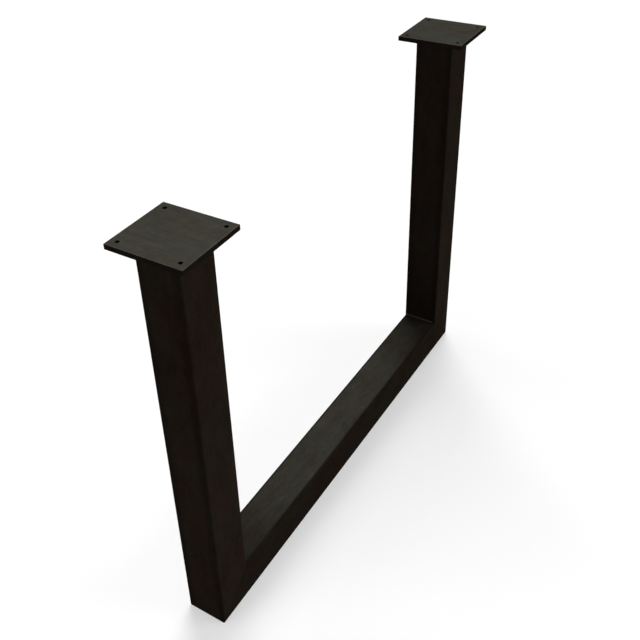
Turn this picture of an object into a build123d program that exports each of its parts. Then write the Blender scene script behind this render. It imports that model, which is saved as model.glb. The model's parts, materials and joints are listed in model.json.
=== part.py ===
from build123d import *
import os

# Driving dimensions, in millimetres
leg_length = 860.0  # along X, over the outer faces of the two uprights
leg_height = 700.0  # floor to the top faces of the mounting plates
tube_size = 70.0  # outside width of the square steel tube
tube_wall = 3.0
tube_inner_radius = 1.0  # inside corner radius of the tube
outer_corner_flat = 1.0  # ground off the sharp outer edge of each mitred corner
plate_length = 115.0  # along X
plate_width = 120.0  # along Y
plate_thickness = 8.0
plate_edge_chamfer = 0.5
screw_hole_radius = 3.0
hole_inset_x = 12.0  # from a hole's centre to the plate's edge, along X
hole_inset_y = 12.0  # from a hole's centre to the plate's edge, along Y
corner_weld_leg = 5.0  # how far the inner corner's weld reaches up each tube
corner_weld_crown = 1.1  # how far its face stands proud of a flat one
plate_weld_leg = 4.0  # how far the plate's weld reaches down the upright
plate_weld_crown = 0.8

# Sizes that follow from them
tube_outer_radius = tube_inner_radius + tube_wall
tube_bore = tube_size - 2 * tube_wall
plate_underside = leg_height - plate_thickness
upright_centre = leg_length / 2 - tube_size / 2
hole_spacing_x = plate_length - 2 * hole_inset_x
hole_spacing_y = plate_width - 2 * hole_inset_y
base_flat_width = tube_size - 2 * tube_outer_radius


def draw_tube_section():
    """Draws the hollow square section in the sketch that is open."""
    RectangleRounded(tube_size, tube_size, tube_outer_radius)
    RectangleRounded(tube_bore, tube_bore, tube_inner_radius, mode=Mode.SUBTRACT)


class FilletWeldSection(BaseSketchObject):
    """A fillet weld's section: two straight legs from the origin and a convex face."""

    def __init__(self, leg, crown, mode=Mode.ADD):
        middle = leg / 2 + crown / 2**0.5
        with BuildSketch() as section:
            with BuildLine():
                Polyline((leg, 0), (0, 0), (0, leg))
                ThreePointArc((0, leg), (middle, middle), (leg, 0))
            make_face()
        super().__init__(obj=section.sketch, mode=mode)


def mitre_plane(side):
    """The 45 degree plane where an upright meets the base, facing the upright."""
    return Plane(origin=(side * leg_length / 2, 0, 0), z_dir=(side, 0, 1))


def outer_corner_plane(side):
    """The plane of the ground flat on a mitred corner's outer edge, facing the leg."""
    return Plane(origin=(side * leg_length / 2, 0, outer_corner_flat), z_dir=(-side, 0, 1))


def save(part, name):
    """Labels a finished piece and writes it to its own file."""
    part.label = name
    export_step(part, f"parts/{name}.step")


os.makedirs("parts", exist_ok=True)

# Base tube, lying on the floor along X and mitred at both ends
with BuildPart() as base_tube:
    with BuildSketch(Plane(origin=(-leg_length / 2, 0, tube_size / 2), x_dir=(0, 1, 0), z_dir=(1, 0, 0))):
        draw_tube_section()
    extrude(amount=leg_length)
    for side in (-1, 1):
        split(bisect_by=mitre_plane(side), keep=Keep.BOTTOM)
        split(bisect_by=outer_corner_plane(side), keep=Keep.TOP)
save(base_tube.part, "base_tube")

for side, side_name in ((-1, "left"), (1, "right")):
    # Upright tube, mitred at the foot and cut square under its plate
    with BuildPart() as upright:
        with BuildSketch(Plane(origin=(side * upright_centre, 0, 0))):
            draw_tube_section()
        extrude(amount=plate_underside)
        split(bisect_by=mitre_plane(side), keep=Keep.TOP)
        split(bisect_by=outer_corner_plane(side), keep=Keep.TOP)
    save(upright.part, f"{side_name}_upright")

    # Mounting plate on the upright's top end, with four screw holes
    with BuildPart() as mounting_plate:
        with BuildSketch(Plane(origin=(side * upright_centre, 0, plate_underside))):
            Rectangle(plate_length, plate_width)
        extrude(amount=plate_thickness)
        chamfer(mounting_plate.edges(), length=plate_edge_chamfer)
        with Locations(mounting_plate.faces().sort_by(Axis.Z)[-1]):
            with GridLocations(hole_spacing_x, hole_spacing_y, 2, 2):
                Hole(radius=screw_hole_radius)
    save(mounting_plate.part, f"{side_name}_mounting_plate")

    # Fillet weld across the inner corner, with a round end at each edge of the flat
    inner_corner = Vector(side * (leg_length / 2 - tube_size), 0, tube_size)
    inwards = Vector(-side, 0, 0)
    weld_run = base_flat_width - 2 * corner_weld_leg
    with BuildPart() as corner_weld:
        with BuildSketch(Plane(origin=inner_corner, x_dir=inwards, z_dir=(0, side, 0))):
            FilletWeldSection(corner_weld_leg, corner_weld_crown)
        extrude(amount=weld_run / 2, both=True)
        for end in corner_weld.faces().filter_by(Axis.Y):
            corner_line_end = inner_corner + end.normal_at() * (weld_run / 2)
            turning_line = Axis(corner_line_end, inwards.cross(end.normal_at()))
            revolve(end, axis=turning_line, revolution_arc=90)
    save(corner_weld.part, f"{side_name}_corner_weld")

    # Fillet weld all round the upright, under its plate
    with BuildSketch(Plane(origin=(side * upright_centre, 0, plate_underside))) as upright_outline:
        RectangleRounded(tube_size, tube_size, tube_outer_radius)
    weld_path = upright_outline.sketch.wire()
    along = weld_path % 0
    with BuildPart() as plate_weld:
        with BuildSketch(Plane(origin=weld_path @ 0, x_dir=along.cross(Vector(0, 0, 1)), z_dir=along)):
            FilletWeldSection(plate_weld_leg, plate_weld_crown)
        sweep(path=weld_path)
    save(plate_weld.part, f"{side_name}_plate_weld")
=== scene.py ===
import json
import math

import bmesh
import bpy
from bpy.props import FloatProperty, FloatVectorProperty, IntProperty, PointerProperty
from mathutils import Euler, Matrix, Vector


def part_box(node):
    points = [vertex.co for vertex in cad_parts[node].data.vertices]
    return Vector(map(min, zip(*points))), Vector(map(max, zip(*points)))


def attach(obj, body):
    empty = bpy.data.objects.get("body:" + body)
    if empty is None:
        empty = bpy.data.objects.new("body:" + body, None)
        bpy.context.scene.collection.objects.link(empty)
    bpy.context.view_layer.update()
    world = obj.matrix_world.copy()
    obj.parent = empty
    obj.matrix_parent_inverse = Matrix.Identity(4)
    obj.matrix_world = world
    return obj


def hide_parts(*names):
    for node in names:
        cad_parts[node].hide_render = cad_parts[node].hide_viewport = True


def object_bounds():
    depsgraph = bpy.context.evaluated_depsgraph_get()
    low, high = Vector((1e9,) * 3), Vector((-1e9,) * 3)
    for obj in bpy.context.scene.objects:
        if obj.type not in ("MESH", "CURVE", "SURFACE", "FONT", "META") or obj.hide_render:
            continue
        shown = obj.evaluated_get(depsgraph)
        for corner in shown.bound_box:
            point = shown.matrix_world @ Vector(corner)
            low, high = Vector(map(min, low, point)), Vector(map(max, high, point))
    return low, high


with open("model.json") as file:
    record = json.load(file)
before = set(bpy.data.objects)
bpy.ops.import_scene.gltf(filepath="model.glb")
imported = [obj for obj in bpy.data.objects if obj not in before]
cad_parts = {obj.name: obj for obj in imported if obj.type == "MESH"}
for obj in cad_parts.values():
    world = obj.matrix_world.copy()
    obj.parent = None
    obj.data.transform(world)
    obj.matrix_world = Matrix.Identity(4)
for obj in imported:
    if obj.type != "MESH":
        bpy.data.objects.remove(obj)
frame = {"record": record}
cad_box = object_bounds()

bl_info = {
    "name": "Welded table leg",
    "version": (1, 0, 0),
    "blender": (4, 5, 0),
    "location": "3D View > Sidebar > Table leg",
    "description": "Models the finished tubes, plates and weld beads of a U-shaped steel table leg",
    "category": "Add Mesh",
}

MILLIMETRE = 0.001
BODY = "root"
ALONG_X, ALONG_Y, ALONG_Z = range(3)

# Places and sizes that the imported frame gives, in metres
UPRIGHT_LOW, UPRIGHT_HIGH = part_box("right_upright")
PLATE_LOW, PLATE_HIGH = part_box("right_mounting_plate")
CORNER_WELD_LOW, CORNER_WELD_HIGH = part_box("right_corner_weld")
PLATE_WELD_LOW, PLATE_WELD_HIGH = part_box("right_plate_weld")
OUTER_FACE = UPRIGHT_HIGH.x
INNER_FACE = UPRIGHT_LOW.x
TUBE = OUTER_FACE - INNER_FACE
UPRIGHT_CENTRE = (OUTER_FACE + INNER_FACE) / 2
FLAT_WIDTH = CORNER_WELD_HIGH.y - CORNER_WELD_LOW.y
UNDERSIDE = PLATE_LOW.z
PLATE_HALF = (PLATE_HIGH - PLATE_LOW) / 2
SCREWS = next(m for m in frame["record"]["mounts"] if m["name"] == "right_plate_screws")

# Meshes
MERGE_DISTANCE = 0.01 * MILLIMETRE
SMOOTH_ANGLE = math.radians(35)
BEAD_SMOOTH_ANGLE = math.radians(50)
EDGE_SEGMENTS = 3
RIM_SEGMENTS = 2
CROWN_SEGMENTS = 6
RIM_TOLERANCE = 0.01  # share of a screw hole's radius
FLAT_FACE_WEIGHT = 100

# A bead's section and ends, as shares of the weld's leg
LEG_SHARE = 0.93
CROWN_PULL = 0.08
CROWN_ROUND = 0.8
CROWN_START = 0.1
END_SHARE = 0.45
END_SHAPE = ((0.13, 0.92), (0.08, 0.85), (0.05, 0.7), (0.02, 0.5))  # each step outwards, with its shrinking

# A bead's ripples
RIPPLE_SHAPE = (0.75, 1.0, 0.8, 0.45, 0.0)  # share of the swell at each ring
CROWN_AHEAD = 1.5  # how far the crown runs ahead, as a share of the bow
WANDER_RIPPLES = 2  # how many ripples one swing of the crown spans

# Numbers of the Mix node's colour sockets
MIX_FACTOR = 0
MIX_FIRST_COLOUR = 6
MIX_SECOND_COLOUR = 7
MIX_COLOUR = 2

# What brings a Noise node's output to about -1 to 1
NOISE_MIDDLE = 0.5
NOISE_REACH = 3.0

# Patterns of the coat, in waves a metre. RUN_STRETCH is the share of them that is left along a run.
CLOUD_WAVES = (11, 11, 11)
PATCH_WAVES = 26
BLOTCH_WAVES = 75
FLECK_WAVES = 190
RUN_STRETCH = 0.4
GRAIN_WAVES = (620, 620, 620)
PEEL_WAVES = (480, 480, 480)
STREAK_ALONG = 9
STREAK_ACROSS = 210
GRIND_WAVES = (900, 60, 60)

# How many finer layers a pattern has
NOISE_DETAIL = 2.0
PATCH_DETAIL = 4.0
BLOTCH_DETAIL = 3.0
STREAK_DETAIL = 3.0
PEEL_DETAIL = 1.0

# How much each pattern changes the coat's tone
CLOUD_TONE = 0.07
PATCH_TONE = 0.16
BLOTCH_TONE = 0.13
FLECK_TONE = 0.13
GRAIN_TONE = 0.14
STREAK_TONE = 0.07
GRIND_TONE = 0.05
TUBE_MOTTLING = 1.25  # how much stronger they are on the tubes

# Heights in the relief, as shares of the orange peel's, how much of the peel the grinding took off, and
# how far the grinding reaches on each side of a mitre
STREAK_HEIGHT = 0.4
GRIND_HEIGHT = 0.5
GROUND_PEEL = 0.7
GROUND_HALF_WIDTH = 4 * MILLIMETRE

# How much the patterns change the roughness and the film, and where they change the colours over
CLOUD_ROUGHNESS = 0.05
GRAIN_ROUGHNESS = 0.06
FILM_ROUGHNESS = 0.12
FILM_CLOUDS = 0.08
FILM_CHANGE = (-0.6, 0.6)
COAT_CHANGE = (-0.5, 0.5)

# The upward part of a face's normal where the film, which is partly dust and partly painted light from
# above, begins and where it is full, on flat pieces and on beads, and the same for the painted highlight
# on the plates' upper edges, with its width
FLAT_TOP = (0.86, 1.0)
BEAD_CREST = (0.5, 0.9)
EDGE_HIGHLIGHT_UP = (0.35, 0.7)
EDGE_HIGHLIGHT_WIDTH = 2.4 * MILLIMETRE

# Slow changes on the tubes: film worn off the long corners, and painted shade and light: less film
# near the uprights, dark bands beside the corners, and darker inner faces and feet as painted shade,
# and lighter roundings and lighter low parts as painted light
CORNER_RUB = (0.5 * MILLIMETRE, 7 * MILLIMETRE)
# Painted shade in bands on the side faces beside the tubes' long corners
CORNER_DARK = (5 * MILLIMETRE, 17 * MILLIMETRE)
CORNER_SHADE = 0.25
# Painted light on the tubes' long roundings
ROUNDING_LIFT = 0.6
# Painted shade on the base's top near the uprights: the film thins out towards them
UPRIGHT_SHADE_REACH = (0, 240 * MILLIMETRE)
FILM_IN_UPRIGHT_SHADE = 0.35
# Painted shade on the uprights' inner faces, deepest at the foot
INNER_FACING = (-INNER_FACE, -100 * MILLIMETRE)
INNER_SHADE = 0.18
FOOT = (0, 170 * MILLIMETRE)
FOOT_SHADE = 0.25
# Painted light: the uprights' outer faces are lighter low down
LOW_PART = (250 * MILLIMETRE, 600 * MILLIMETRE)
LOW_LIFT = 0.15

# Studio
WHITE = (1, 1, 1, 1)
FLOOR_SIZE = 40
SENSOR_WIDTH = 36
CLIP_START = 0.05
# Where the lights stand, as angles round the leg from +X on the right towards +Y at the back
BACK_RIGHT, BACK, LEFT, FRONT = (math.radians(angle) for angle in (25, 90, 150, 300))
LEFT_DISTANCE = 4.2
LEFT_SIZE = 2.6


class TubeSizes(bpy.types.PropertyGroup):
    """Wall, corners and ground edges of the square tube"""

    wall: FloatProperty(
        name="Wall", description="Thickness of the tube's wall", default=3 * MILLIMETRE, unit="LENGTH",
    )
    corner_radius: FloatProperty(
        name="Corner radius", description="Outside radius of the tube's long corners",
        default=(TUBE - FLAT_WIDTH) / 2, unit="LENGTH",
    )
    corner_segments: IntProperty(name="Corner segments", description="Faces round each corner", default=8)
    corner_flat: FloatProperty(
        name="Corner flat", description="Ground off the outer edge of each mitred corner, up each face",
        default=1 * MILLIMETRE, unit="LENGTH",
    )


class PlateSizes(bpy.types.PropertyGroup):
    """Finish of the mounting plates' edges"""

    edge_radius: FloatProperty(
        name="Edge radius", description="Rounding of the plate's outer edges under the coat",
        default=0.6 * MILLIMETRE, unit="LENGTH",
    )
    rim_radius: FloatProperty(
        name="Rim radius", description="Rounding of the screw holes' rims",
        default=0.3 * MILLIMETRE, unit="LENGTH",
    )
    hole_sides: IntProperty(name="Hole sides", description="Faces round each screw hole", default=48)


class WeldSizes(bpy.types.PropertyGroup):
    """Ripples and unevenness of the weld beads"""

    ripple: FloatProperty(
        name="Ripple", description="Distance from one ripple of a bead to the next",
        default=2.4 * MILLIMETRE, unit="LENGTH",
    )
    bow: FloatProperty(
        name="Bow", description="How far the middle of a ripple runs ahead of its ends",
        default=1.0 * MILLIMETRE, unit="LENGTH",
    )
    swell: FloatProperty(
        name="Swell", description="How much a ripple swells over the bead's section", default=0.07,
    )
    wander: FloatProperty(
        name="Wander", description="Unevenness of the bead's crown", default=0.35 * MILLIMETRE, unit="LENGTH",
    )


class CoatSettings(bpy.types.PropertyGroup):
    """Colours and finish of the black coat"""

    coat: FloatVectorProperty(
        name="Coat", description="Colour of the coat", subtype="COLOR", size=3,
        default=(0.0124, 0.0084, 0.0063),
    )
    cool_coat: FloatVectorProperty(
        name="Cool coat", description="Colour of the coat in its less brown patches", subtype="COLOR", size=3,
        default=(0.0104, 0.0085, 0.0066),
    )
    # The film colours make faces that look up lighter: partly a film of dust, partly painted light from above
    film: FloatVectorProperty(
        name="Film", description="Colour of the coat under the thin film of dust on faces that look up",
        subtype="COLOR", size=3, default=(0.0505, 0.0453, 0.0355),
    )
    cool_film: FloatVectorProperty(
        name="Cool film", description="Colour of the film in the patches where it is a little thicker",
        subtype="COLOR", size=3, default=(0.0437, 0.0449, 0.0371),
    )
    # Painted highlight along the plates' upper edges
    edge_highlight: FloatVectorProperty(
        name="Arris", description="Colour of the thin coat on the plates' upper edges",
        subtype="COLOR", size=3, default=(0.0720, 0.0640, 0.0520),
    )
    roughness: FloatProperty(
        name="Roughness", description="Roughness of the coat", default=0.5, subtype="FACTOR",
    )
    gloss: FloatProperty(
        name="Gloss", description="Specular level of the matt coat", default=0.0, subtype="FACTOR",
    )
    peel: FloatProperty(
        name="Peel", description="Height of the coat's orange peel", default=0.06 * MILLIMETRE, unit="LENGTH",
    )


class StudioSettings(bpy.types.PropertyGroup):
    """Camera, lights and floor"""

    camera_place: FloatVectorProperty(
        name="Camera place", description="Where the camera stands", size=3, subtype="TRANSLATION",
        default=(-1.0765, -0.6168, 1.2537),
    )
    azimuth: FloatProperty(
        name="Azimuth", description="Direction of the camera round the leg", subtype="ANGLE",
        default=math.radians(-54.437),
    )
    elevation: FloatProperty(
        name="Elevation", description="How far the camera looks down", subtype="ANGLE",
        default=math.radians(33.327),
    )
    roll: FloatProperty(
        name="Roll", description="Turn of the camera round its own axis", subtype="ANGLE",
        default=math.radians(-3.841),
    )
    lens: FloatProperty(name="Lens", description="Focal length in millimetres", default=49.895)
    shift: FloatVectorProperty(
        name="Shift", description="Lens shift that the picture's framing needs", size=2,
        default=(0.0910, -0.0930),
    )
    ambient: FloatVectorProperty(
        name="Ambient", description="Light that comes from all round", subtype="COLOR", size=3,
        default=(0.05, 0.05, 0.05),
    )
    bounce: FloatVectorProperty(
        name="Bounce", description="Colour of the light that the floor throws back", subtype="COLOR", size=3,
        default=(0.40, 0.33, 0.28),
    )
    floor_glow: FloatProperty(
        name="Floor glow", description="Share of the floor's white that needs no light", default=0.5,
        subtype="FACTOR",
    )
    key_elevation: FloatProperty(
        name="Key elevation", description="How high the main light stands over the floor", subtype="ANGLE",
        default=math.radians(40),
    )
    fill_elevation: FloatProperty(
        name="Fill elevation", description="How high the fill lights stand over the floor", subtype="ANGLE",
        default=math.radians(5),
    )
    light_spread: FloatProperty(
        name="Light spread", description="Breadth of the sun lights, as an angle", subtype="ANGLE",
        default=math.radians(45),
    )
    key: FloatProperty(name="Key", description="Strength of the main light, from the back right", default=3.2)
    left_fill: FloatProperty(name="Left fill", description="Strength of the fill from the left", default=2.1)
    front_fill: FloatProperty(
        name="Front fill", description="Strength of the fill from the front", default=4.4,
    )
    back_fill: FloatProperty(name="Back fill", description="Strength of the fill from behind", default=2.2)


def select_none():
    """Leaves object mode's selection empty."""
    bpy.ops.object.select_all(action="DESELECT")


def name_active(name):
    """Names the active object and its mesh, and puts its place into the mesh."""
    piece = bpy.context.object
    piece.name = name
    piece.data.name = name
    bpy.ops.object.transform_apply(location=True, rotation=True, scale=True)
    return piece


def activate(piece):
    """Makes a piece the only selected object."""
    select_none()
    piece.select_set(True)
    bpy.context.view_layer.objects.active = piece


def pick(kind, test):
    """In edit mode, selects only the vertices, edges or faces that pass the test."""
    bpy.ops.mesh.select_mode(type=kind)
    bpy.ops.mesh.select_all(action="DESELECT")
    mesh = bmesh.from_edit_mesh(bpy.context.object.data)
    for element in {"VERT": mesh.verts, "EDGE": mesh.edges, "FACE": mesh.faces}[kind]:
        if test(element):
            element.select_set(True)
    bmesh.update_edit_mesh(bpy.context.object.data)


def apply_modifier(piece, kind, **settings):
    """Adds a modifier with these settings and applies it."""
    modifier = piece.modifiers.new(kind.lower(), kind)
    for setting, value in settings.items():
        setattr(modifier, setting, value)
    bpy.ops.object.modifier_apply(modifier=modifier.name)


def close_mesh(piece, smooth_angle):
    """Merges doubles, turns the faces outwards, smooths the shading and stops at an open edge."""
    bpy.ops.object.mode_set(mode="EDIT")
    bpy.ops.mesh.select_all(action="SELECT")
    bpy.ops.mesh.remove_doubles(threshold=MERGE_DISTANCE)
    bpy.ops.mesh.normals_make_consistent(inside=False)
    bpy.ops.object.mode_set(mode="OBJECT")
    bpy.ops.object.shade_smooth_by_angle(angle=smooth_angle)
    apply_modifier(piece, "WEIGHTED_NORMAL", keep_sharp=True, weight=FLAT_FACE_WEIGHT)
    edges = bmesh.new()
    edges.from_mesh(piece.data)
    open_edges = sum(not edge.is_manifold for edge in edges.edges)
    edges.free()
    if open_edges:
        raise RuntimeError(f"{piece.name} has {open_edges} open edges")


def turned_copy(piece, name):
    """Copies a piece, with its own mesh, half a turn round the leg's middle."""
    activate(piece)
    bpy.ops.object.duplicate(linked=False)
    bpy.context.object.rotation_euler = (0, 0, math.pi)
    return name_active(name)


def dress(piece, node, material):
    """Gives a finished piece its material and lets it stand for its CAD node."""
    piece.data.materials.clear()
    piece.data.materials.append(material)
    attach(piece, BODY)
    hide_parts(node)


def dress_pair(right, finish, node, material):
    """Copies a finished right piece to the left of the leg, and dresses both."""
    left = turned_copy(right, f"left_{finish}")
    dress(right, f"right_{node}", material)
    dress(left, f"left_{node}", material)


def cut(point, normal):
    """In edit mode, cuts away what lies on the normal's side of a plane and leaves the cut open."""
    bpy.ops.mesh.select_all(action="SELECT")
    bpy.ops.mesh.bisect(plane_co=point, plane_no=normal, clear_outer=True)
    pick("EDGE", lambda edge: edge.is_boundary)


def model_tube(name, low, high, run):
    """Models a plain hollow square tube between two corners, with its run along one axis."""
    sizes = bpy.context.scene.tube_sizes
    select_none()
    bpy.ops.mesh.primitive_cube_add(size=1, location=(low + high) / 2, scale=high - low)
    tube = name_active(name)
    bpy.ops.object.mode_set(mode="EDIT")
    pick("FACE", lambda face: round(abs(face.normal[run])) == 1)
    bpy.ops.mesh.delete(type="ONLY_FACE")
    pick("EDGE", lambda edge: abs((edge.verts[0].co - edge.verts[1].co)[run]) > TUBE)
    bpy.ops.mesh.bevel(offset=sizes.corner_radius, segments=sizes.corner_segments, affect="EDGES")
    bpy.ops.object.mode_set(mode="OBJECT")
    apply_modifier(tube, "SOLIDIFY", thickness=sizes.wall, offset=-1, use_even_offset=True)
    return tube


def mitre(side, keep):
    """In edit mode, mitres a tube at one corner of the leg and grinds the outer edge flat.

    keep is 1 for an upright, which stays above the mitre, and -1 for the base, which stays below."""
    flat = bpy.context.scene.tube_sizes.corner_flat
    cut((side * OUTER_FACE, 0, 0), (-side * keep, 0, -keep))
    bpy.ops.mesh.bridge_edge_loops()
    cut((side * OUTER_FACE, 0, flat), (side, 0, -1))
    bpy.ops.mesh.edge_face_add()


class TABLE_LEG_OT_base_tube(bpy.types.Operator):
    """Model the tube on the floor, mitred at both ends"""

    bl_idname = "table_leg.base_tube"
    bl_label = "Base tube"

    def execute(self, context):
        low = Vector((-OUTER_FACE, -TUBE / 2, 0))
        base = model_tube("base_tube_finish", low, Vector((OUTER_FACE, TUBE / 2, TUBE)), ALONG_X)
        bpy.ops.object.mode_set(mode="EDIT")
        for side in (-1, 1):
            mitre(side, keep=-1)
        bpy.ops.object.mode_set(mode="OBJECT")
        close_mesh(base, SMOOTH_ANGLE)
        material = coated_steel("base_coat", run=ALONG_X, dust_and_top_light=0.66, mottling=TUBE_MOTTLING, wear_and_painted_shade=True)
        dress(base, "base_tube", material)
        return {"FINISHED"}


class TABLE_LEG_OT_uprights(bpy.types.Operator):
    """Model the upright tubes, mitred at the foot and cut square under the plates"""

    bl_idname = "table_leg.uprights"
    bl_label = "Uprights"

    def execute(self, context):
        low = Vector((INNER_FACE, -TUBE / 2, 0))
        high = Vector((OUTER_FACE, TUBE / 2, UNDERSIDE))
        right = model_tube("right_upright_finish", low, high, ALONG_Z)
        bpy.ops.object.mode_set(mode="EDIT")
        mitre(1, keep=1)
        bpy.ops.object.mode_set(mode="OBJECT")
        close_mesh(right, SMOOTH_ANGLE)
        material = coated_steel("upright_coat", run=ALONG_Z, mottling=TUBE_MOTTLING, wear_and_painted_shade=True)
        dress_pair(right, "upright_finish", "upright", material)
        return {"FINISHED"}


class TABLE_LEG_OT_mounting_plates(bpy.types.Operator):
    """Model the mounting plates with their screw holes"""

    bl_idname = "table_leg.mounting_plates"
    bl_label = "Mounting plates"

    def execute(self, context):
        sizes = context.scene.plate_sizes
        middle = (PLATE_LOW + PLATE_HIGH) / 2
        select_none()
        bpy.ops.mesh.primitive_cube_add(size=1, location=middle, scale=PLATE_HIGH - PLATE_LOW)
        right = name_active("right_mounting_plate_finish")
        bpy.ops.object.mode_set(mode="EDIT")
        bpy.ops.mesh.select_all(action="SELECT")
        bpy.ops.mesh.bevel(offset=sizes.edge_radius, segments=EDGE_SEGMENTS, affect="EDGES")
        bpy.ops.object.mode_set(mode="OBJECT")
        radius = SCREWS["dims"]["hole_r_mm"] * MILLIMETRE
        reach_x = SCREWS["dims"]["spacing_x_mm"] * MILLIMETRE / 2
        reach_y = SCREWS["dims"]["spacing_y_mm"] * MILLIMETRE / 2
        holes = [Vector((middle.x + i * reach_x, j * reach_y, middle.z)) for i in (-1, 1) for j in (-1, 1)]
        for hole in holes:
            select_none()
            bpy.ops.mesh.primitive_cylinder_add(
                vertices=sizes.hole_sides, radius=radius, depth=TUBE, location=hole
            )
            drill = name_active("drill")
            activate(right)
            apply_modifier(right, "BOOLEAN", object=drill, operation="DIFFERENCE", solver="EXACT")
            bpy.data.objects.remove(drill)
        bpy.ops.object.mode_set(mode="EDIT")

        def on_rim(edge):
            """Tells the edges of the holes' rims from those down their walls."""
            level = abs(edge.verts[0].co.z - edge.verts[1].co.z) < sizes.rim_radius
            off_rims = [[abs((v.co - hole).xy.length - radius) for v in edge.verts] for hole in holes]
            return level and any(max(off_rim) < radius * RIM_TOLERANCE for off_rim in off_rims)

        pick("EDGE", on_rim)
        bpy.ops.mesh.bevel(offset=sizes.rim_radius, segments=RIM_SEGMENTS, affect="EDGES")
        bpy.ops.object.mode_set(mode="OBJECT")
        close_mesh(right, SMOOTH_ANGLE)
        material = coated_steel("plate_coat", run=ALONG_Y, lift=0.75, plate_edge_highlight=True)
        dress_pair(right, "mounting_plate_finish", "mounting_plate", material)
        return {"FINISHED"}


def model_bead(name, leg, count, pitch):
    """Models a straight rippled bead along +X from the origin.

    Its root lies on the X axis, one leg reaches out along +Y and the other down along -Z. Both ends
    are open."""
    sizes = bpy.context.scene.weld_sizes
    select_none()
    bpy.ops.mesh.primitive_plane_add(size=leg, location=(0, leg / 2, -leg / 2), rotation=(0, math.pi / 2, 0))
    bead = name_active(name)
    bpy.ops.object.mode_set(mode="EDIT")
    pick("VERT", lambda vertex: vertex.co.y > leg / 2 and vertex.co.z < -leg / 2)
    pull = leg * CROWN_PULL
    bpy.ops.transform.translate(value=(0, -pull, pull))
    bpy.ops.mesh.bevel(offset=leg * CROWN_ROUND, segments=CROWN_SEGMENTS, affect="VERTICES")
    bpy.ops.object.vertex_group_add()
    crown_start = leg * CROWN_START
    pick("VERT", lambda vertex: vertex.co.y > crown_start and vertex.co.z < -crown_start)
    bpy.ops.object.vertex_group_assign()
    mesh = bmesh.from_edit_mesh(bead.data)
    half = leg / 2
    # The middle of a ripple runs ahead, and its ends on the two legs stay where they are
    ahead = {v.index: sizes.bow * (v.co.y / half) * (-v.co.z / half) for v in mesh.verts}
    for index, distance in ahead.items():
        pick("VERT", lambda vertex: vertex.index == index)
        bpy.ops.transform.translate(value=(distance, 0, 0))
    bpy.ops.mesh.select_all(action="SELECT")
    bpy.ops.mesh.delete(type="ONLY_FACE")
    bpy.ops.mesh.select_mode(type="EDGE")
    bpy.ops.mesh.select_all(action="SELECT")
    size = 1.0
    for share in RIPPLE_SHAPE:
        wanted = 1 + sizes.swell * share
        bpy.ops.mesh.extrude_region_move(TRANSFORM_OT_translate={"value": (pitch / len(RIPPLE_SHAPE), 0, 0)})
        bpy.ops.transform.resize(value=(1, wanted / size, wanted / size), center_override=(0, 0, 0))
        size = wanted
    bpy.ops.object.mode_set(mode="OBJECT")
    apply_modifier(
        bead, "ARRAY", count=count, use_relative_offset=False, use_constant_offset=True,
        constant_offset_displace=(pitch, 0, 0), use_merge_vertices=True, merge_threshold=MERGE_DISTANCE,
    )
    return bead


def roughen(bead):
    """Lets the crown of a bead wander slowly in and out, as hand welding leaves it."""
    sizes = bpy.context.scene.weld_sizes
    wander = bpy.data.textures.new("wander", "CLOUDS")
    wander.noise_scale = WANDER_RIPPLES * sizes.ripple
    apply_modifier(
        bead, "DISPLACE", texture=wander, texture_coords="LOCAL", strength=sizes.wander,
        mid_level=0.5, vertex_group=bead.vertex_groups[0].name,
    )
    bpy.data.textures.remove(wander)


class TABLE_LEG_OT_corner_welds(bpy.types.Operator):
    """Model the rippled fillet beads in the inner corners"""

    bl_idname = "table_leg.corner_welds"
    bl_label = "Corner welds"

    def execute(self, context):
        leg = CORNER_WELD_HIGH.z - CORNER_WELD_LOW.z
        run = FLAT_WIDTH - 2 * leg * END_SHARE
        count = round(run / context.scene.weld_sizes.ripple)
        right = model_bead("right_corner_bead", leg * LEG_SHARE, count, run / count)
        bpy.ops.object.mode_set(mode="EDIT")
        ahead = CROWN_AHEAD * context.scene.weld_sizes.bow
        for ring, way, end in ((0, -1, 0), (run, 1, run + ahead)):
            pick("EDGE", lambda edge: edge.is_boundary and all(abs(v.co.x - ring) < leg for v in edge.verts))
            for step, size in END_SHAPE:
                end += way * leg * step
                bpy.ops.mesh.extrude_region_move(TRANSFORM_OT_translate={"value": (way * leg * step, 0, 0)})
                bpy.ops.transform.resize(value=(0, size, size), center_override=(end, 0, 0))
            bpy.ops.mesh.edge_face_add()
        bpy.ops.object.mode_set(mode="OBJECT")
        turn = Matrix(((0, -1, 0), (-1, 0, 0), (0, 0, -1))).to_4x4()
        place = Matrix.Translation((INNER_FACE, (run + ahead) / 2, TUBE))
        right.matrix_world = place @ turn
        bpy.ops.object.transform_apply(location=True, rotation=True, scale=True)
        close_mesh(right, BEAD_SMOOTH_ANGLE)
        roughen(right)
        dress_pair(right, "corner_bead", "corner_weld", weld_coat())
        return {"FINISHED"}


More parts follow.
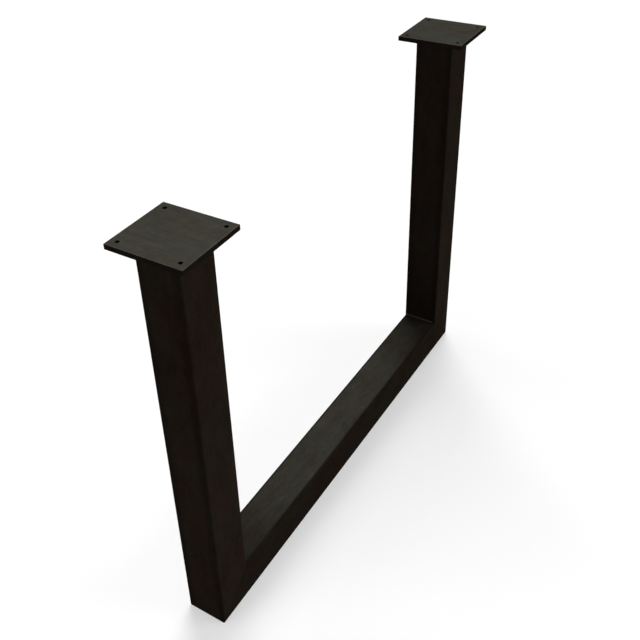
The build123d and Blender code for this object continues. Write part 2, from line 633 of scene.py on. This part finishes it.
class TABLE_LEG_OT_plate_welds(bpy.types.Operator):
    """Model the rippled fillet beads round the uprights, under the plates"""

    bl_idname = "table_leg.plate_welds"
    bl_label = "Plate welds"

    def execute(self, context):
        tube = context.scene.tube_sizes
        select_none()
        bpy.ops.mesh.primitive_plane_add(size=TUBE, location=(UPRIGHT_CENTRE, 0, UNDERSIDE))
        outline = name_active("weld_path")
        bpy.ops.object.mode_set(mode="EDIT")
        bpy.ops.mesh.bevel(offset=tube.corner_radius, segments=2 * tube.corner_segments, affect="VERTICES")
        bpy.ops.mesh.delete(type="ONLY_FACE")
        bpy.ops.object.mode_set(mode="OBJECT")
        bpy.ops.object.convert(target="CURVE")
        outline = bpy.context.object
        corners = [Vector(point.co[:3]) for point in outline.data.splines[0].points]
        steps = list(zip(corners, corners[1:] + corners[:1]))
        length = sum((a - b).length for a, b in steps)
        anticlockwise = sum(a.x * b.y - a.y * b.x for a, b in steps) > 0
        if anticlockwise:
            bpy.ops.object.mode_set(mode="EDIT")
            bpy.ops.curve.select_all(action="SELECT")
            bpy.ops.curve.switch_direction()
            bpy.ops.object.mode_set(mode="OBJECT")
        leg = PLATE_WELD_HIGH.z - PLATE_WELD_LOW.z
        count = round(length / context.scene.weld_sizes.ripple)
        right = model_bead("right_plate_bead", leg * LEG_SHARE, count, length / count)
        activate(right)
        apply_modifier(right, "CURVE", object=outline, deform_axis="POS_X")
        bpy.data.objects.remove(outline)
        close_mesh(right, BEAD_SMOOTH_ANGLE)
        roughen(right)
        dress_pair(right, "plate_bead", "plate_weld", weld_coat())
        return {"FINISHED"}


class Field:
    """An output of a material's node, which adds Math nodes where it is used in an expression"""

    def __init__(self, graph, socket):
        self.graph = graph
        self.socket = socket

    def __add__(self, other):
        return self.graph.math("ADD", self, other)

    def __radd__(self, other):
        return self.graph.math("ADD", other, self)

    def __sub__(self, other):
        return self.graph.math("SUBTRACT", self, other)

    def __rsub__(self, other):
        return self.graph.math("SUBTRACT", other, self)

    def __mul__(self, other):
        return self.graph.math("MULTIPLY", self, other)

    def __rmul__(self, other):
        return self.graph.math("MULTIPLY", other, self)

    def __abs__(self):
        return self.graph.math("ABSOLUTE", self)


class Graph:
    """The nodes of a material or of the world"""

    def __init__(self, owner):
        owner.use_nodes = True
        self.tree = owner.node_tree

    def node(self, kind, settings=None, values=None, output=0):
        """Adds a node, makes its settings, gives its sockets their values or links, and returns an output."""
        node = self.tree.nodes.new(kind)
        for setting, value in (settings or {}).items():
            setattr(node, setting, value)
        for socket, value in (values or {}).items():
            self.feed(node.inputs[socket], value)
        return Field(self, node.outputs[output])

    def feed(self, socket, value):
        """Links a field to a socket, or sets the socket to a plain value."""
        if isinstance(value, Field):
            self.tree.links.new(value.socket, socket)
        else:
            socket.default_value = value

    def math(self, operation, *values):
        """Adds a Math node."""
        return self.node("ShaderNodeMath", {"operation": operation}, dict(enumerate(values)))

    def mix(self, factor, first, second):
        """Mixes two colours."""
        values = {MIX_FACTOR: factor, MIX_FIRST_COLOUR: first, MIX_SECOND_COLOUR: second}
        return self.node("ShaderNodeMix", {"data_type": "RGBA"}, values, MIX_COLOUR)

    def scale(self, vector, factor):
        """Multiplies a colour or a vector by a number."""
        return self.node("ShaderNodeVectorMath", {"operation": "SCALE"}, {0: vector, "Scale": factor})

    def split(self, vector):
        """Returns the three parts of a vector."""
        return [self.node("ShaderNodeSeparateXYZ", values={0: vector}, output=axis) for axis in range(3)]

    def rise(self, value, low, high):
        """Goes smoothly from 0 at low to 1 at high."""
        return self.node(
            "ShaderNodeMapRange", {"interpolation_type": "SMOOTHSTEP"},
            {"Value": value, "From Min": low, "From Max": high},
        )

    def noise(self, place, waves, detail=NOISE_DETAIL):
        """Returns noise from about -1 to 1 with so many waves a metre along X, Y and Z."""
        stretched = self.node("ShaderNodeVectorMath", {"operation": "MULTIPLY"}, {0: place, 1: waves})
        field = self.node("ShaderNodeTexNoise", values={"Vector": stretched, "Scale": 1.0, "Detail": detail})
        return (field - NOISE_MIDDLE) * NOISE_REACH


def along_run(waves, run):
    """Gives the waves a metre of a pattern that the rolling has drawn out along one axis."""
    return tuple(waves * RUN_STRETCH if axis == run else waves for axis in range(3))


def ground_mitre(graph, x, y, z):
    """Returns the band where a mitre was ground, and the marks that the grinding left across it."""
    off_mitre = abs(abs(x) + z - OUTER_FACE)
    band = 1 - graph.rise(off_mitre, GROUND_HALF_WIDTH, 2 * GROUND_HALF_WIDTH)
    turned = graph.node("ShaderNodeCombineXYZ", values={0: abs(x) - z, 1: abs(x) + z, 2: y})
    return band, graph.noise(turned, GRIND_WAVES)


def tube_changes(graph, place, facing, run):
    """Returns the share of the film that is left on a tube, and its painted shade and light."""
    x, y, z = graph.split(place)
    sideways, outwards, _ = graph.split(facing)
    off_side = TUBE / 2 - abs(y)
    flat = graph.rise(off_side, *CORNER_RUB)
    # Painted shade: less film on the base's top near the uprights
    clear_of_upright_shade = graph.rise(INNER_FACE - abs(x), *UPRIGHT_SHADE_REACH)
    film_left = flat * (FILM_IN_UPRIGHT_SHADE + (1 - FILM_IN_UPRIGHT_SHADE) * clear_of_upright_shade)
    # Painted shade in bands on the side faces beside the long corners
    beside_corner = (1 - graph.rise(off_side, *CORNER_DARK)) * abs(sideways)
    inner = 1 - graph.rise(x * sideways, *INNER_FACING)
    foot = 1 - graph.rise(z - TUBE, *FOOT)
    # Painted shade beside the corners and painted light on the roundings
    shade = (1 - CORNER_SHADE * beside_corner) * (1 + ROUNDING_LIFT * abs(sideways * outwards))
    # Painted shade on the inner faces, deeper towards the foot
    shade = shade * (1 - inner * (INNER_SHADE + FOOT_SHADE * foot))
    # Painted light on the uprights' outer faces, lighter low down
    if run == ALONG_Z:
        shade = shade * (1 + LOW_LIFT * (1 - inner) * (1 - graph.rise(z, *LOW_PART)))
    return film_left, shade


def coated_steel(
    name, run=None, lift=1.0, dust_and_top_light=1.0, film_facing=FLAT_TOP, mottling=1.0, roughness_shift=0.0,
    plate_edge_highlight=False, wear_and_painted_shade=False,
):
    """Black coat over steel: brownish on upright faces, greyer under a film on faces that look up, which
    is partly dust and partly painted light from above.

    run is the axis of the rolling streaks that show through the coat. lift makes the coat lighter,
    mottling makes it more uneven, and dust is how much of the film lies on it. plate_edge_highlight paints a
    highlight along a plate's upper edges, and rubbed gives a tube its film worn off the long corners and
    its painted shade and light."""
    material = bpy.data.materials.get(name)
    if material:
        return material
    settings = bpy.context.scene.coat_settings
    material = bpy.data.materials.new(name)
    graph = Graph(material)
    shader = material.node_tree.nodes["Principled BSDF"]
    place = graph.node("ShaderNodeTexCoord", output="Object")
    facing = graph.node("ShaderNodeTexCoord", output="Normal")
    x, y, z = graph.split(place)
    up = graph.split(facing)[2]

    clouds = graph.noise(place, CLOUD_WAVES)
    patches = graph.noise(place, along_run(PATCH_WAVES, run), PATCH_DETAIL)
    blotches = graph.noise(place, along_run(BLOTCH_WAVES, run), BLOTCH_DETAIL)
    flecks = graph.noise(place, along_run(FLECK_WAVES, run))
    grain = graph.noise(place, GRAIN_WAVES)
    broad = CLOUD_TONE * clouds + PATCH_TONE * patches + BLOTCH_TONE * blotches
    tone = 1 + mottling * (broad + FLECK_TONE * flecks + GRAIN_TONE * grain)
    height = graph.noise(place, PEEL_WAVES, PEEL_DETAIL)
    if run is not None:
        waves = [STREAK_ALONG if axis == run else STREAK_ACROSS for axis in range(3)]
        streaks = graph.noise(place, waves, STREAK_DETAIL)
        tone = tone + STREAK_TONE * streaks
        height = height + STREAK_HEIGHT * streaks

    band, marks = ground_mitre(graph, x, y, z)
    height = height * (1 - GROUND_PEEL * band) + marks * GRIND_HEIGHT * band
    tone = tone - GRIND_TONE * band

    # Faces that look up get the film, which is partly dust and partly painted light from above
    film_and_top_light = graph.rise(up, *film_facing) * (dust_and_top_light + FILM_CLOUDS * clouds)
    if wear_and_painted_shade:
        film_left, shade = tube_changes(graph, place, facing, run)
        film_and_top_light = film_and_top_light * film_left
        tone = tone * shade
    film = graph.mix(graph.rise(patches, *FILM_CHANGE), (*settings.film, 1), (*settings.cool_film, 1))
    cool = graph.rise(blotches + clouds, *COAT_CHANGE)
    black = graph.mix(cool, (*settings.coat, 1), (*settings.cool_coat, 1))
    colour = graph.mix(film_and_top_light, graph.scale(black, lift), film)
    # Painted highlight along the plates' upper edges, where they face up
    if plate_edge_highlight:
        off_edge = graph.math("MINIMUM", PLATE_HALF.x - abs(abs(x) - UPRIGHT_CENTRE), PLATE_HALF.y - abs(y))
        edge_highlight = graph.rise(up, *EDGE_HIGHLIGHT_UP) * (1 - graph.rise(off_edge, 0, EDGE_HIGHLIGHT_WIDTH))
        colour = graph.mix(edge_highlight, colour, (*settings.edge_highlight, 1))
    graph.feed(shader.inputs["Base Color"], graph.scale(colour, tone))
    rough = CLOUD_ROUGHNESS * clouds + GRAIN_ROUGHNESS * grain + FILM_ROUGHNESS * film_and_top_light
    graph.feed(shader.inputs["Roughness"], settings.roughness + roughness_shift + rough)
    shader.inputs["Specular IOR Level"].default_value = settings.gloss
    bump = graph.node("ShaderNodeBump", values={"Height": height, "Distance": settings.peel, "Strength": 1.0})
    graph.feed(shader.inputs["Normal"], bump)
    return material


def weld_coat():
    """The coat on the beads, a little lighter, with film only on their crests; both are partly a painted
    highlight.
    """
    return coated_steel("weld_coat", lift=1.1, dust_and_top_light=0.8, film_facing=BEAD_CREST, roughness_shift=-0.1)


def seen_ray(graph):
    """Is 1 for the rays that show the studio itself, and 0 for those that only light the leg."""
    path = "ShaderNodeLightPath"
    camera = graph.node(path, output="Is Camera Ray")
    glossy = graph.node(path, output="Is Glossy Ray")
    through = graph.node(path, output="Is Transmission Ray")
    return graph.math("MAXIMUM", graph.math("MAXIMUM", camera, glossy), through)


def studio_floor():
    """A pale floor that shows white, keeps a soft shadow and throws little light back up."""
    settings = bpy.context.scene.studio_settings
    material = bpy.data.materials.new("studio_floor")
    graph = Graph(material)
    shader = material.node_tree.nodes["Principled BSDF"]
    shader.inputs["Roughness"].default_value = 1
    shader.inputs["Specular IOR Level"].default_value = 0
    seen = seen_ray(graph)
    graph.feed(shader.inputs["Base Color"], graph.mix(seen, (*settings.bounce, 1), WHITE))
    glow = graph.node("ShaderNodeEmission", values={"Color": WHITE, "Strength": 1.0})
    surface = Field(graph, shader.outputs[0])
    mixed = graph.node("ShaderNodeMixShader", values={0: seen * settings.floor_glow, 1: surface, 2: glow})
    graph.feed(material.node_tree.nodes["Material Output"].inputs["Surface"], mixed)
    return material


def add_light(name, side, elevation, strength):
    """Adds a broad soft light that comes from one side."""
    bpy.ops.object.light_add(type="SUN", rotation=(0, math.pi / 2 - elevation, side))
    light = bpy.context.object
    light.name = name
    light.data.energy = strength
    light.data.angle = bpy.context.scene.studio_settings.light_spread


def add_left_fill(settings):
    """Adds the soft box on the left, whose light grows weaker towards the far upright.

    Its power gives the leg's middle about as much light as a sun of that strength would."""
    middle = (cad_box[0] + cad_box[1]) / 2
    aim = Euler((0, math.pi / 2 - settings.fill_elevation, LEFT))
    place = middle + aim.to_matrix() @ Vector((0, 0, LEFT_DISTANCE))
    bpy.ops.object.light_add(type="AREA", location=place, rotation=aim)
    light = bpy.context.object
    light.name = "left_fill"
    light.visible_camera = False
    light.data.size = LEFT_SIZE
    light.data.energy = settings.left_fill * math.pi * LEFT_DISTANCE**2


class TABLE_LEG_OT_studio(bpy.types.Operator):
    """Add the floor, the lights and the camera"""

    bl_idname = "table_leg.studio"
    bl_label = "Studio"

    def execute(self, context):
        settings = context.scene.studio_settings
        select_none()
        bpy.ops.mesh.primitive_plane_add(size=FLOOR_SIZE)
        floor = name_active("floor")
        floor.data.materials.append(studio_floor())

        world = bpy.data.worlds.new("studio")
        context.scene.world = world
        graph = Graph(world)
        background = world.node_tree.nodes["Background"]
        graph.feed(background.inputs["Color"], graph.mix(seen_ray(graph), (*settings.ambient, 1), WHITE))

        add_light("key", BACK_RIGHT, settings.key_elevation, settings.key)
        add_light("front_fill", FRONT, settings.fill_elevation, settings.front_fill)
        add_light("back_fill", BACK, settings.fill_elevation, settings.back_fill)
        add_left_fill(settings)

        bpy.ops.object.camera_add(location=settings.camera_place)
        camera = context.object
        camera.name = "camera"
        aim = Euler((math.pi / 2 - settings.elevation, 0, settings.azimuth)).to_matrix()
        camera.rotation_euler = (aim @ Matrix.Rotation(settings.roll, 3, "Z")).to_euler()
        camera.data.lens = settings.lens
        camera.data.sensor_width = SENSOR_WIDTH
        camera.data.shift_x, camera.data.shift_y = settings.shift
        camera.data.clip_start = CLIP_START
        context.scene.camera = camera
        context.scene.view_settings.view_transform = "Standard"
        return {"FINISHED"}


class TABLE_LEG_PT_panel(bpy.types.Panel):
    """Shows the settings, and the buttons that build the studio and the pieces of the leg"""

    bl_label = "Table leg"
    bl_idname = "TABLE_LEG_PT_panel"
    bl_space_type = "VIEW_3D"
    bl_region_type = "UI"
    bl_category = "Table leg"

    def draw(self, context):
        for group in GROUPS:
            for setting in group.__annotations__:
                self.layout.prop(getattr(context.scene, GROUPS[group]), setting)
        for operator in OPERATORS:
            self.layout.operator(operator.bl_idname)


GROUPS = {
    TubeSizes: "tube_sizes",
    PlateSizes: "plate_sizes",
    WeldSizes: "weld_sizes",
    CoatSettings: "coat_settings",
    StudioSettings: "studio_settings",
}
OPERATORS = (
    TABLE_LEG_OT_studio,
    TABLE_LEG_OT_base_tube,
    TABLE_LEG_OT_uprights,
    TABLE_LEG_OT_mounting_plates,
    TABLE_LEG_OT_corner_welds,
    TABLE_LEG_OT_plate_welds,
)


def register():
    """Adds the settings, the operators and the panel to Blender."""
    for group, name in GROUPS.items():
        bpy.utils.register_class(group)
        setattr(bpy.types.Scene, name, PointerProperty(type=group))
    for operator in OPERATORS:
        bpy.utils.register_class(operator)
    bpy.utils.register_class(TABLE_LEG_PT_panel)


def unregister():
    """Takes away what register added."""
    bpy.utils.unregister_class(TABLE_LEG_PT_panel)
    for operator in reversed(OPERATORS):
        bpy.utils.unregister_class(operator)
    for group, name in reversed(GROUPS.items()):
        delattr(bpy.types.Scene, name)
        bpy.utils.unregister_class(group)


def main():
    register()
    bpy.ops.table_leg.studio()
    bpy.ops.table_leg.base_tube()
    bpy.ops.table_leg.uprights()
    bpy.ops.table_leg.mounting_plates()
    bpy.ops.table_leg.corner_welds()
    bpy.ops.table_leg.plate_welds()


if __name__ == "__main__":
    main()
